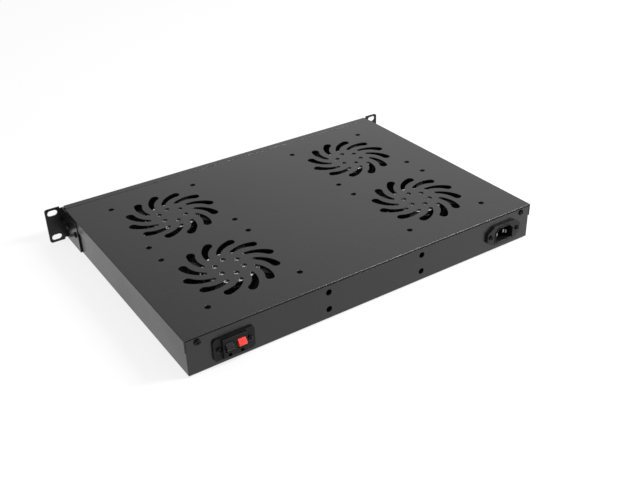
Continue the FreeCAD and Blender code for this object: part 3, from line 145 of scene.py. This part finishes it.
def powder_coat(name, dark, light, rough=(0.26, 0.34), specular=0.5):
    """Satin powder coat: orange peel in two sizes, faint clouding, and soft edges."""
    finish = Finish(name)
    finish.set(Specular_IOR_Level=specular)
    cloud = finish.noise(scale=9, detail=3)
    speck = finish.noise(scale=2400, detail=1)
    speckled = finish.blend(speck, 0.35, finish.spread(cloud, low=0.2, high=0.45))
    tone = finish.colours(speckled, dark, light, start=0.25, end=0.75)
    finish.link(tone, finish.shader.inputs["Base Color"])
    finish.link(finish.spread(cloud, *rough), finish.shader.inputs["Roughness"])
    fine_peel = finish.noise(scale=1700, detail=1)
    coarse_peel = finish.noise(scale=420, detail=2)
    finish.bump(finish.blend(fine_peel, 0.3, coarse_peel), distance=0.12 * MM, strength=0.8, edge=0.12 * MM)
    return finish.material


def moulded(name, dark, light, rough, grain=2600, specular=0.5):
    """Moulded plastic: fine spark-eroded grain and slight colour drift."""
    finish = Finish(name)
    finish.set(Specular_IOR_Level=specular)
    drift = finish.noise(scale=60, detail=3)
    wear = finish.noise(scale=300, detail=2)
    finish.link(finish.colours(drift, dark, light), finish.shader.inputs["Base Color"])
    finish.link(finish.spread(wear, *rough), finish.shader.inputs["Roughness"])
    finish.bump(finish.noise(grain, detail=2), distance=0.02 * MM, strength=0.5, edge=0.3 * MM)
    return finish.material


def metal(name, dark, light, rough=(0.2, 0.38), squeeze=(1, 1, 1), scale=900, relief=0.01 * MM):
    """Bare or plated metal with fine marks, which become layers where they are squeezed along an axis."""
    finish = Finish(name)
    finish.set(Metallic=1.0)
    marks = finish.noise(scale, detail=3, rough=0.6, squeeze=squeeze)
    finish.link(finish.colours(marks, dark, light), finish.shader.inputs["Base Color"])
    finish.link(finish.spread(marks, *rough), finish.shader.inputs["Roughness"])
    finish.bump(marks, distance=relief, strength=0.4, edge=0.15 * MM)
    return finish.material


def smoked(name, dark, light, rough):
    """Polished dark plastic that shows nothing behind it while the display is off."""
    finish = Finish(name)
    cloud = finish.noise(scale=120, detail=2)
    finish.link(finish.colours(cloud, dark, light), finish.shader.inputs["Base Color"])
    finish.link(finish.spread(cloud, *rough), finish.shader.inputs["Roughness"])
    finish.bump(finish.noise(scale=40, detail=1), distance=0.02 * MM, strength=0.2)
    return finish.material


def grey(level, tint=(1, 1, 1)):
    return tuple(level * part for part in tint)


COOL = (0.98, 1.0, 1.03)
WARM = (1, 0.99, 0.95)


# One finish for each slot of the record, and a few for single nodes and for marks.
FINISHES = {
    "case_black": (powder_coat, dict(dark=grey(0.003, COOL), light=grey(0.007, COOL))),
    # The ears wear the case's own powder coat. This darker, less reflective copy of it is painted shade for
    # the shadowed floor that the ears mirror.
    "ear_black_shaded": (powder_coat, dict(dark=grey(0.002, COOL), light=grey(0.004, COOL), rough=(0.2, 0.28),
                                    specular=0.3)),
    "screw_black": (metal, dict(dark=grey(0.012), light=grey(0.03), rough=(0.15, 0.25), scale=3000)),
    # The fan screw ends are painted shade. They are black and almost without reflection, so the screw holes
    # in the cover look as dark as shadowed holes.
    "screw_shaded_black": (moulded, dict(dark=grey(0.001), light=grey(0.002), rough=(0.6, 0.75), specular=0.02)),
    "zinc_steel": (metal, dict(dark=grey(0.42, COOL), light=grey(0.66, COOL))),
    "inlet_plastic": (moulded, dict(dark=grey(0.003), light=grey(0.006), rough=(0.28, 0.38), specular=0.25)),
    # The pins are darker than their plated metal. This is painted shade for the inside of the socket.
    "pin_metal": (metal, dict(dark=grey(0.2, WARM), light=grey(0.3, WARM), rough=(0.2, 0.35))),
    # The low specular of the terminal plastic is painted shade. It darkens the block's top and bezel as if
    # they were in shadow.
    "terminal_plastic": (moulded, dict(dark=grey(0.002), light=grey(0.004), rough=(0.42, 0.55),
                                       specular=0.2)),
    "lever_black_plastic": (moulded, dict(dark=grey(0.002), light=grey(0.005), rough=(0.22, 0.32),
                                          specular=0.35)),
    "lever_red_plastic": (moulded, dict(dark=(0.6, 0.025, 0.015), light=(0.76, 0.04, 0.025),
                                        rough=(0.2, 0.3))),
    "stat_plastic": (moulded, dict(dark=grey(0.008), light=grey(0.014), rough=(0.35, 0.5))),
    "window_glass": (smoked, dict(dark=(0.012, 0.004, 0.004), light=(0.02, 0.006, 0.006),
                                  rough=(0.05, 0.1))),
    "digit_unlit": (moulded, dict(dark=(0.07, 0.014, 0.012), light=(0.09, 0.02, 0.016), rough=(0.2, 0.3))),
    "mark_white": (moulded, dict(dark=grey(0.62), light=grey(0.72), rough=(0.4, 0.55))),
    "board_green": (moulded, dict(dark=(0.01, 0.09, 0.03), light=(0.02, 0.14, 0.05), rough=(0.3, 0.45))),
    "key_rubber": (moulded, dict(dark=grey(0.1), light=grey(0.15), rough=(0.55, 0.7))),
    "switch_plastic": (moulded, dict(dark=grey(0.008), light=grey(0.014), rough=(0.3, 0.4))),
    "rocker_plastic": (moulded, dict(dark=grey(0.01), light=grey(0.016), rough=(0.15, 0.25))),
    "cable_black": (moulded, dict(dark=grey(0.01), light=grey(0.02), rough=(0.45, 0.6), grain=1200)),
    "probe_grey": (moulded, dict(dark=grey(0.3), light=grey(0.4), rough=(0.45, 0.6), grain=1200)),
    "label_silver": (metal, dict(dark=grey(0.85), light=grey(0.95), rough=(0.24, 0.32), scale=60,
                                 relief=0.0)),
    # The fan frames' black is their own. Their low specular is painted shade, which keeps them as dark as the
    # shadowed inside of the tray.
    "fan_frame_black": (moulded, dict(dark=grey(0.002), light=grey(0.004), rough=(0.5, 0.65),
                                      specular=0.12)),
    "rotor_steel": (metal, dict(dark=grey(0.4, COOL), light=grey(0.62, COOL))),
    # The blades' low specular is painted shade too, for the shadowed inside of the tray.
    "blade_black": (moulded, dict(dark=grey(0.002), light=grey(0.004), rough=(0.5, 0.65), specular=0.12)),
    "core_steel": (metal, dict(dark=grey(0.2), light=grey(0.36), rough=(0.4, 0.6), squeeze=(1, 1, 40),
                               scale=300)),
    "coil_copper": (metal, dict(dark=(0.45, 0.14, 0.05), light=(0.7, 0.28, 0.1), rough=(0.25, 0.4),
                                squeeze=(1, 1, 60), scale=400)),
}
OWN_FINISH = {"ear_left": "ear_black_shaded", "ear_right": "ear_black_shaded", "fan_screws": "screw_shaded_black"}


def make_finishes():
    return {name: make(name, **settings) for name, (make, settings) in FINISHES.items()}


def dress_nodes(finishes):
    """Gives each CAD node the finish of its slot."""
    for name, obj in NODES.items():
        for slot in obj.material_slots:
            slot.material = finishes[OWN_FINISH.get(name, SLOT_OF[name])]


# Outlines, in metres around their own middle.

def circle(radius, steps=24):
    turns = [math.tau * i / steps for i in range(steps)]
    return [(radius * math.cos(turn), radius * math.sin(turn)) for turn in turns]


ROUNDING = (0, 0.25, 0.5, 0.75, 1)  # the shares of a quarter turn at which a round corner has points


def rectangle(width, height, radius=0.0):
    """A rectangle, with round corners where it has a radius."""
    points = []
    for quarter, (right, upper) in enumerate(((1, 1), (-1, 1), (-1, -1), (1, -1))):
        x, y = right * (width / 2 - radius), upper * (height / 2 - radius)
        for share in ROUNDING if radius else (0,):
            turn = math.tau / 4 * (quarter + share)
            points.append((x + radius * math.cos(turn), y + radius * math.sin(turn)))
    return points


def moved(outline, right, upward, lean=0.0):
    """An outline moved, and leaning to the right as it rises."""
    return [(x + right + (y + upward) * lean, y + upward) for x, y in outline]


def bar(length, width, upright=False):
    """A display segment: a bar with pointed ends."""
    half, tip = length / 2, width / 2
    points = [(-half, 0), (tip - half, tip), (half - tip, tip),
              (half, 0), (half - tip, -tip), (tip - half, -tip)]
    return [(-y, x) for x, y in points] if upright else points


# Small details, each made on the surface that carries it.

RAY_START = 10 * MM


def surface_at(node, x, z, facing):
    """The frame of a spot on a node that faces the front or the rear: right, up and outward axes."""
    low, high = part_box(node)
    outside = high.y if facing.y > 0 else low.y
    start = Vector((x, outside + facing.y * RAY_START, z))
    hit, place, normal, _ = NODES[node].ray_cast(start, -facing)
    if not hit:
        raise RuntimeError(f"nothing of {node} lies at {x}, {z}")
    return standing_on(place, normal)


def standing_on(place, normal):
    """The frame of a place with its outward axis given and its upward axis as near to +Z as can be."""
    right = Vector((0, 0, 1)).cross(normal).normalized()
    upward = normal.cross(right)
    return Matrix.Translation(place) @ Matrix((right, upward, normal)).transposed().to_4x4()


SUNK = 0.05 * MM  # how far a detail's foot reaches into the surface that carries it


def add_flat(shape, outline, ground, high, sunk=SUNK):
    """A flat shape that stands out of a surface."""
    rings = [[shape.verts.new(ground @ Vector((x, y, rise))) for x, y in outline] for rise in (-sunk, high)]
    sides = zip(rings[0], rings[0][1:] + rings[0][:1], rings[1][1:] + rings[1][:1], rings[1])
    for corners in sides:
        shape.faces.new(corners)
    shape.faces.new(rings[1])
    shape.faces.new(rings[0][::-1])


def add_band(shape, outer, inner, ground, high, sunk=SUNK):
    """A flat band between two outlines of as many points, which stands out of a surface."""
    profile = ((outer, -sunk), (outer, high), (inner, high), (inner, -sunk))
    rings = [[shape.verts.new(ground @ Vector((x, y, rise))) for x, y in outline]
             for outline, rise in profile]
    for lower, upper in zip(rings, rings[1:] + rings[:1]):
        for corners in zip(lower, lower[1:] + lower[:1], upper[1:] + upper[:1], upper):
            shape.faces.new(corners)


SOFT_STEPS = 2


def add_piece(name, shape, body, material, soft):
    """Makes a mesh piece with softened edges that rides on a body."""
    mesh = bpy.data.meshes.new(name)
    bmesh.ops.recalc_face_normals(shape, faces=shape.faces[:])
    shape.to_mesh(mesh)
    shape.free()
    mesh.materials.append(material)
    piece = bpy.data.objects.new(name, mesh)
    bpy.context.scene.collection.objects.link(piece)
    edges = piece.modifiers.new("soft edges", "BEVEL")
    edges.width = soft
    edges.segments = SOFT_STEPS
    edges.limit_method = "ANGLE"
    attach(piece, body)


def middle_of(node):
    low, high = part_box(node)
    return (low + high) / 2


DIGIT_WIDE, DIGIT_TALL, DIGIT_LINE = 5.6 * MM, 10.4 * MM, 1.2 * MM
DIGIT_PITCH, DIGIT_COUNT, DIGIT_LEAN = 9.0 * MM, 3, 0.12
DIGIT_PROUD = 0.04 * MM
SEGMENT_GAP = DIGIT_LINE * 0.3
POINT_RADIUS, POINT_REACH = DIGIT_LINE * 0.6, DIGIT_LINE * 1.3
DEGREE_OUTSIDE, DEGREE_INSIDE = DIGIT_LINE, DIGIT_LINE * 0.5


def digit_spots():
    """The outline and the place of each segment of a digit, and of its point."""
    across = bar(DIGIT_WIDE - SEGMENT_GAP, DIGIT_LINE)
    upright = bar(DIGIT_TALL / 2 - SEGMENT_GAP, DIGIT_LINE, upright=True)
    spots = [(across, 0, rise * DIGIT_TALL / 2) for rise in (-1, 0, 1)]
    spots += [(upright, side * DIGIT_WIDE / 2, rise * DIGIT_TALL / 4) for side in (-1, 1) for rise in (-1, 1)]
    return spots + [(circle(POINT_RADIUS, steps=12), DIGIT_WIDE / 2 + POINT_REACH, -DIGIT_TALL / 2)]


def add_digits(finishes):
    """Three unlit seven-segment digits with their points, and a degree ring, on the window's face."""
    middle = middle_of("thermostat_window")
    ground = surface_at("thermostat_window", middle.x, middle.z, FRONT_WARD)
    shape = bmesh.new()
    for place in range(DIGIT_COUNT):
        right = (place - (DIGIT_COUNT - 1) / 2) * DIGIT_PITCH - DIGIT_LINE
        for outline, side, rise in digit_spots():
            add_flat(shape, moved(outline, right + side, rise, DIGIT_LEAN), ground, DIGIT_PROUD)
    degree = (DIGIT_COUNT / 2 * DIGIT_PITCH + DIGIT_LINE, DIGIT_TALL / 2)
    outer, inner = (moved(circle(radius, steps=16), *degree) for radius in (DEGREE_OUTSIDE, DEGREE_INSIDE))
    add_band(shape, outer, inner, ground, DIGIT_PROUD)
    add_piece("window_digits", shape, "case", finishes["digit_unlit"], soft=0.02 * MM)


WINDOW_CLEAR, WINDOW_BAND, WINDOW_ROUND = 0.5 * MM, 0.9 * MM, 0.8 * MM
WINDOW_RISE = 0.5 * MM


def add_window_rim(finishes):
    """A low rim moulded round the window."""
    low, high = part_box("thermostat_window")
    middle = middle_of("thermostat_window")
    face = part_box("thermostat_case")[0].y
    ground = standing_on(Vector((middle.x, face, middle.z)), FRONT_WARD)
    inner, outer = (rectangle(high.x - low.x + 2 * reach, high.z - low.z + 2 * reach, radius)
                    for reach, radius in ((WINDOW_CLEAR, WINDOW_ROUND),
                                          (WINDOW_CLEAR + WINDOW_BAND, WINDOW_ROUND + WINDOW_BAND)))
    shape = bmesh.new()
    add_band(shape, outer, inner, ground, WINDOW_RISE)
    add_piece("window_rim", shape, "case", finishes["stat_plastic"], soft=0.2 * MM)


ARROW_HALF_WIDE, ARROW_HALF_TALL, KEY_DOT = 1.5 * MM, 1.3 * MM, 1.2 * MM
KEY_MARK_RISE = 0.15 * MM


def add_key_marks(finishes):
    """A raised mark on each key: an arrow up, an arrow down, and a dot."""
    arrow = [(-ARROW_HALF_WIDE, -ARROW_HALF_TALL), (ARROW_HALF_WIDE, -ARROW_HALF_TALL), (0, ARROW_HALF_TALL)]
    marks = {"key_up": arrow, "key_down": [(-x, -y) for x, y in arrow], "key_set": circle(KEY_DOT, steps=20)}
    for key, outline in marks.items():
        middle = middle_of(key)
        shape = bmesh.new()
        add_flat(shape, outline, surface_at(key, middle.x, middle.z, FRONT_WARD), KEY_MARK_RISE)
        add_piece(key + "_mark", shape, key, finishes["mark_white"], soft=0.06 * MM)


ROCKER_MARK_REACH, ROCKER_MARK_RISE = 4.6 * MM, 0.08 * MM
STROKE_LONG, STROKE_WIDE, STROKE_ROUND = 4.4 * MM, 0.8 * MM, 0.3 * MM
RING_OUTSIDE, RING_INSIDE = 2.2 * MM, 1.5 * MM


def add_rocker_marks(finishes):
    """The line for on and the ring for off, printed on the two halves of the rocker."""
    middle = middle_of("switch_rocker")
    on, off = (surface_at("switch_rocker", middle.x + side * ROCKER_MARK_REACH, middle.z, FRONT_WARD)
               for side in (1, -1))
    shape = bmesh.new()
    add_flat(shape, rectangle(STROKE_WIDE, STROKE_LONG, STROKE_ROUND), on, ROCKER_MARK_RISE)
    add_band(shape, circle(RING_OUTSIDE, steps=32), circle(RING_INSIDE, steps=32), off, ROCKER_MARK_RISE)
    add_piece("rocker_marks", shape, "rocker", finishes["mark_white"], soft=0.03 * MM)


RIB_COUNT, RIB_TOP, RIB_PITCH = 4, 1.5 * MM, 1.15 * MM
RIB_MARGIN, RIB_WIDTH, RIB_ROUND = 0.8 * MM, 0.5 * MM, 0.2 * MM
RIB_RISE, RIB_FOOT = 0.3 * MM, 0.2 * MM


def add_lever_grips(finishes):
    """Grip ribs across the sloping end of each terminal lever."""
    for lever in ("lever_black", "lever_red"):
        low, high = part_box(lever)
        length = (high.x - low.x) - 2 * RIB_MARGIN
        shape = bmesh.new()
        for rib in range(RIB_COUNT):
            height = high.z - (RIB_TOP + rib * RIB_PITCH)
            ground = surface_at(lever, middle_of(lever).x, height, REAR_WARD)
            add_flat(shape, rectangle(length, RIB_WIDTH, RIB_ROUND), ground, RIB_RISE, RIB_FOOT)
        slot = lever + "_plastic"
        add_piece(lever + "_grip", shape, lever, finishes[slot], soft=0.12 * MM)


CONTACT_OUTSIDE, CONTACT_BORE, CONTACT_LONG = 1.8 * MM, 1.3 * MM, 6 * MM
CONTACT_DEPTH, WIRE_HOLE_DROP = 5.5 * MM, 7.8 * MM


def add_contacts(finishes):
    """The sprung contact tube deep in each wire hole of the terminal."""
    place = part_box("chassis")[1].y - CONTACT_DEPTH
    height = middle_of("terminal_base").z - WIRE_HOLE_DROP
    shape = bmesh.new()
    for lever in ("lever_black", "lever_red"):
        ground = standing_on(Vector((middle_of(lever).x, place, height)), REAR_WARD)
        add_band(shape, circle(CONTACT_OUTSIDE), circle(CONTACT_BORE), ground, CONTACT_LONG, sunk=0.0)
    add_piece("terminal_contacts", shape, "case", finishes["zinc_steel"], soft=0.15 * MM)


SOCKET_HALF, SOCKET_RISE, SOCKET_CORNER = 12.4 * MM, 8.4 * MM, 5.0 * MM
INLET_RIM_CLEAR, INLET_RIM_REACH, INLET_RIM_RISE = 0.05 * MM, 1.1 * MM, 0.8 * MM


def socket_outline(grow):
    """The outline of a mains inlet's socket, grown: a rectangle with its upper corners cut off."""
    half, rise = SOCKET_HALF + grow, SOCKET_RISE + grow
    corner = SOCKET_CORNER + grow * (2 - math.sqrt(2))
    return [(-half, -rise), (half, -rise), (half, rise - corner), (half - corner, rise),
            (corner - half, rise), (-half, rise - corner)]


def add_inlet_rim(finishes):
    """The raised rim round the socket of the mains inlet."""
    middle = middle_of("inlet_body")
    ground = standing_on(Vector((middle.x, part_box("inlet_body")[1].y, middle.z)), REAR_WARD)
    outer, inner = socket_outline(INLET_RIM_REACH), socket_outline(INLET_RIM_CLEAR)
    shape = bmesh.new()
    add_band(shape, outer, inner, ground, INLET_RIM_RISE)
    add_piece("inlet_rim", shape, "case", finishes["inlet_plastic"], soft=0.3 * MM)


def add_details(finishes):
    add_digits(finishes)
    add_window_rim(finishes)
    add_key_marks(finishes)
    add_rocker_marks(finishes)
    add_lever_grips(finishes)
    add_contacts(finishes)
    add_inlet_rim(finishes)


# Studio.

CAMERA_PLACE = Vector((0.4568, 0.9135, 0.4983))
CAMERA_TARGET = Vector((0.0205, 0.2454, 0.0230))
CAMERA_ROLL = math.radians(-1.6)
CAMERA_LENS, CAMERA_SENSOR = 48.58, 36
CAMERA_NEAR = 0.01


def make_camera():
    data = bpy.data.cameras.new("camera")
    data.lens = CAMERA_LENS
    data.sensor_width = CAMERA_SENSOR
    data.clip_start = CAMERA_NEAR
    data.dof.use_dof = False
    camera = bpy.data.objects.new("camera", data)
    bpy.context.scene.collection.objects.link(camera)
    aim = (CAMERA_TARGET - CAMERA_PLACE).to_track_quat("-Z", "Y")
    camera.matrix_world = (Matrix.Translation(CAMERA_PLACE) @ aim.to_matrix().to_4x4()
                           @ Matrix.Rotation(CAMERA_ROLL, 4, "Z"))
    bpy.context.scene.camera = camera


def area_light(name, place, target, size, power):
    data = bpy.data.lights.new(name, "AREA")
    data.shape = "RECTANGLE"
    data.size, data.size_y = size
    data.energy = power
    light = bpy.data.objects.new(name, data)
    light.location = place
    light.rotation_euler = (Vector(target) - Vector(place)).to_track_quat("-Z", "Y").to_euler()
    bpy.context.scene.collection.objects.link(light)


def larger_of(tree, first, second):
    """The larger of two numbers."""
    node = tree.nodes.new("ShaderNodeMath")
    node.operation = "MAXIMUM"
    tree.links.new(first, node.inputs[0])
    tree.links.new(second, node.inputs[1])
    return node.outputs[0]


def mix(tree, fac, without, with_all):
    """A mix of two shaders by a factor, which is a number or a node's output."""
    node = tree.nodes.new("ShaderNodeMixShader")
    if isinstance(fac, float):
        node.inputs["Fac"].default_value = fac
    else:
        tree.links.new(fac, node.inputs["Fac"])
    tree.links.new(without, node.inputs[1])
    tree.links.new(with_all, node.inputs[2])
    return node.outputs[0]


def seen_or_mirrored(tree, path):
    """1 for rays from the camera, mirrored rays and rays that pass through glass."""
    direct = larger_of(tree, path.outputs["Is Camera Ray"], path.outputs["Is Glossy Ray"])
    return larger_of(tree, direct, path.outputs["Is Transmission Ray"])


def background(tree, strength):
    """A white background with a strength, which is a number or a node's output."""
    node = tree.nodes.new("ShaderNodeBackground")
    node.inputs["Color"].default_value = (1, 1, 1, 1)
    if isinstance(strength, float):
        node.inputs["Strength"].default_value = strength
    else:
        tree.links.new(strength, node.inputs["Strength"])
    return node.outputs[0]


WORLD_LIGHT = 0.75
FLOOR_GLOW, FLOOR_WHITE = 0.8, (0.85, 0.85, 0.85, 1)
# What surfaces mirror of the studio fades from bright to dim between these two values of a direction's X.
BRIGHT_SIDE, DIM_SIDE = -0.5, -0.1
DIM_LEVEL = 0.5


def studio_fade(tree):
    """The strength of the mirrored studio in each direction."""
    place = tree.nodes.new("ShaderNodeTexCoord")
    axes = tree.nodes.new("ShaderNodeSeparateXYZ")
    fall = tree.nodes.new("ShaderNodeMapRange")
    fall.inputs["From Min"].default_value = BRIGHT_SIDE
    fall.inputs["From Max"].default_value = DIM_SIDE
    fall.inputs["To Min"].default_value = 1.0
    fall.inputs["To Max"].default_value = DIM_LEVEL
    tree.links.new(place.outputs["Generated"], axes.inputs[0])
    tree.links.new(axes.outputs["X"], fall.inputs["Value"])
    return fall.outputs["Result"]


def make_world():
    """A white studio. What surfaces mirror of it is dimmer away from its bright side, at -X."""
    world = bpy.data.worlds.new("studio")
    world.use_nodes = True
    tree = world.node_tree
    tree.nodes.clear()
    path = tree.nodes.new("ShaderNodeLightPath")
    mirrored = background(tree, studio_fade(tree))
    shown = mix(tree, path.outputs["Is Glossy Ray"], background(tree, 1.0), mirrored)
    surface = mix(tree, seen_or_mirrored(tree, path), background(tree, WORLD_LIGHT), shown)
    output = tree.nodes.new("ShaderNodeOutputWorld")
    tree.links.new(surface, output.inputs["Surface"])
    bpy.context.scene.world = world


def floor_material():
    """A white table that still takes the tray's shadow."""
    material = bpy.data.materials.new("studio_floor")
    material.use_nodes = True
    tree = material.node_tree
    tree.nodes.clear()
    path = tree.nodes.new("ShaderNodeLightPath")
    matte = tree.nodes.new("ShaderNodeBsdfDiffuse")
    matte.inputs["Color"].default_value = FLOOR_WHITE
    glow = tree.nodes.new("ShaderNodeEmission")
    glow.inputs["Color"].default_value = (1, 1, 1, 1)
    shown = mix(tree, FLOOR_GLOW, matte.outputs[0], glow.outputs[0])
    output = tree.nodes.new("ShaderNodeOutputMaterial")
    surface = mix(tree, seen_or_mirrored(tree, path), matte.outputs[0], shown)
    tree.links.new(surface, output.inputs["Surface"])
    return material


FLOOR_REACH = 6.0


def make_floor():
    mesh = bpy.data.meshes.new("studio_floor")
    corners = [(x, y, TABLE_HEIGHT) for x, y in rectangle(2 * FLOOR_REACH, 2 * FLOOR_REACH)]
    mesh.from_pydata(corners, [], [(0, 1, 2, 3)])
    floor = bpy.data.objects.new("studio_floor", mesh)
    floor.data.materials.append(floor_material())
    bpy.context.scene.collection.objects.link(floor)


# A long soft lamp behind and above the tray, which lines its rear upper edge with light.
LAMP_PLACE, LAMP_TARGET = (-0.9, 0.8, 1.05), (-0.9, 0.16, 0)
LAMP_SIZE, LAMP_POWER = (0.8, 0.2), 32


def make_studio():
    bpy.context.scene.view_settings.view_transform = "Standard"
    make_world()
    make_floor()
    area_light("edge_light", LAMP_PLACE, LAMP_TARGET, LAMP_SIZE, LAMP_POWER)


make_camera()
make_studio()
finishes = make_finishes()
dress_nodes(finishes)
add_details(finishes)
